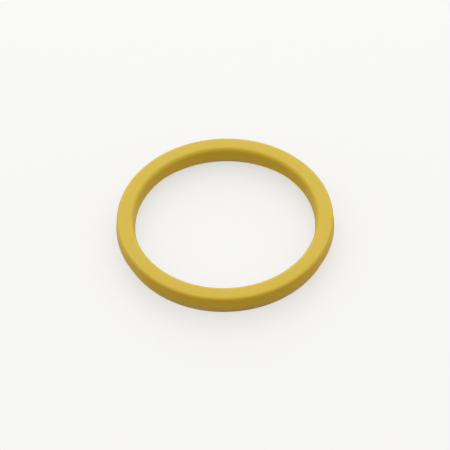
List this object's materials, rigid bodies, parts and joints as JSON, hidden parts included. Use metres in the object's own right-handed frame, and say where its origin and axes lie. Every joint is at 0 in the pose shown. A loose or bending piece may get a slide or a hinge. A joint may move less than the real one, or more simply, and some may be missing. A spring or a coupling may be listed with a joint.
{
  "type": "u-cup seal",
  "caption": "Moulded ring seal with a U section: a plain rounded heel on one side, and two flared lips with a pressure groove between them on the other.",
  "frame": {"origin": "on the ring's axis, in the plane of the two lip tips that it rests on", "axes": "+Z along the ring's axis, from the lips to the heel"},
  "size_m": [0.0956, 0.0956, 0.01],
  "materials": {
    "polyurethane": "satin"
  },
  "bodies": {
    "root": {"u_cup_seal": "polyurethane"}
  },
  "joints": []
}
